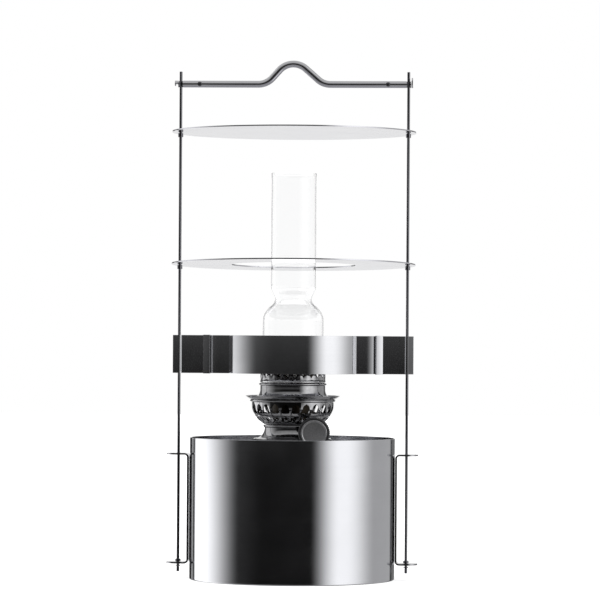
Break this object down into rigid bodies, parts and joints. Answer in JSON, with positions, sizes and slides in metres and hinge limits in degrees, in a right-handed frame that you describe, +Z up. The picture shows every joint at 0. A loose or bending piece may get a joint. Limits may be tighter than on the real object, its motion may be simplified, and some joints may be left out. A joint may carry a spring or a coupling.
{
  "type": "oil lamp",
  "caption": "Open steel oil lamp with a cylindrical tank, pierced burner, glass chimney, sliding shade band, ring reflector, heat shield and a carrying bar on two rods.",
  "frame": {"origin": "centre of the tank's underside", "axes": "+Z up, -Y the front where the wick knob is, X along the line through the two rods"},
  "size_m": [0.207, 0.2012, 0.4271],
  "materials": {
    "tank_steel": "circumferentially brushed stainless steel",
    "lid_steel": "spun stainless steel",
    "collar_steel": "turned stainless steel",
    "bracket_steel": "brushed stainless strip",
    "rod_steel": "drawn stainless wire",
    "bar_steel": "polished stainless tube",
    "pin_steel": "dark steel rivet",
    "disc_steel": "satin stainless sheet",
    "shade_steel": "brushed stainless strip",
    "burner_chrome": "bright chrome plate",
    "tube_brass": "drawn brass",
    "winder_steel": "turned steel",
    "knob_black": "black knurled plastic",
    "knob_face_metal": "grey satin metal, plain",
    "wick_cotton": "woven cotton",
    "chimney_glass": "clear blown glass",
    "gasket_rubber": "black rubber"
  },
  "bodies": {
    "lamp_body": {"tank_shell": "tank_steel", "reservoir_lid": "lid_steel", "neck_collar": "collar_steel", "collar_gasket": "gasket_rubber", "bracket_left": "bracket_steel", "bracket_right": "bracket_steel", "rod_left": "rod_steel", "rod_right": "rod_steel", "rod_collar_left": "rod_steel", "rod_collar_right": "rod_steel", "rod_clip_left": "rod_steel", "rod_clip_right": "rod_steel", "shield_stop_left": "rod_steel", "shield_stop_right": "rod_steel", "reflector_stop_left": "rod_steel", "reflector_stop_right": "rod_steel", "handle_bar": "bar_steel", "handle_plug_left": "bar_steel", "handle_plug_right": "bar_steel", "handle_pin_left": "pin_steel", "handle_pin_right": "pin_steel", "handle_cap_left": "bar_steel", "handle_cap_right": "bar_steel"},
    "burner": {"burner_base": "burner_chrome", "burner_basket": "burner_chrome", "gallery_flange": "burner_chrome", "gallery_crown": "burner_chrome", "wick_tube_outer": "tube_brass", "draught_tube_inner": "tube_brass", "shaft_gland_nut": "winder_steel"},
    "wick_drive": {"wick_shaft": "winder_steel", "wick_sprocket": "tube_brass", "wick_knob": "knob_black", "knob_face": "knob_face_metal"},
    "wick": {"wick": "wick_cotton"},
    "chimney": {"chimney": "chimney_glass"},
    "shade": {"shade_front_band": "shade_steel", "shade_back_band": "shade_steel", "ear_sleeve_left": "shade_steel", "ear_sleeve_right": "shade_steel"},
    "reflector": {"reflector_disc": "disc_steel"},
    "heat_shield": {"heat_shield_disc": "disc_steel"}
  },
  "joints": [
    {"name": "shade_slide", "type": "slide", "parent": "lamp_body", "child": "shade", "axis": [0, 0, 1], "range_m": [-0.016, 0.053]},
    {"name": "reflector_slide", "type": "slide", "parent": "lamp_body", "child": "reflector", "axis": [0, 0, 1], "range_m": [0, 0.09]},
    {"name": "heat_shield_slide", "type": "slide", "parent": "lamp_body", "child": "heat_shield", "axis": [0, 0, 1], "range_m": [0, 0.034]},
    {"name": "burner_unscrew", "type": "hinge", "parent": "lamp_body", "child": "burner", "pos_m": [0, 0, 0.1118], "axis": [0, 0, 1], "range_deg": [0, 540]},
    {"name": "chimney_lift", "type": "slide", "parent": "burner", "child": "chimney", "axis": [0, 0, 1], "range_m": [0, 0.031]},
    {"name": "wick_winder_turn", "type": "hinge", "parent": "burner", "child": "wick_drive", "pos_m": [0.0194, 0, 0.121], "axis": [0, 1, 0], "range_deg": [-80, 160]},
    {"name": "wick_lift", "type": "slide", "parent": "burner", "child": "wick", "axis": [0, 0, 1], "range_m": [-0.004, 0.008]}
  ],
  "couplings": [
    {"joint": "wick_lift", "follows": "wick_winder_turn", "m_per_rad": 0.0028}
  ]
}
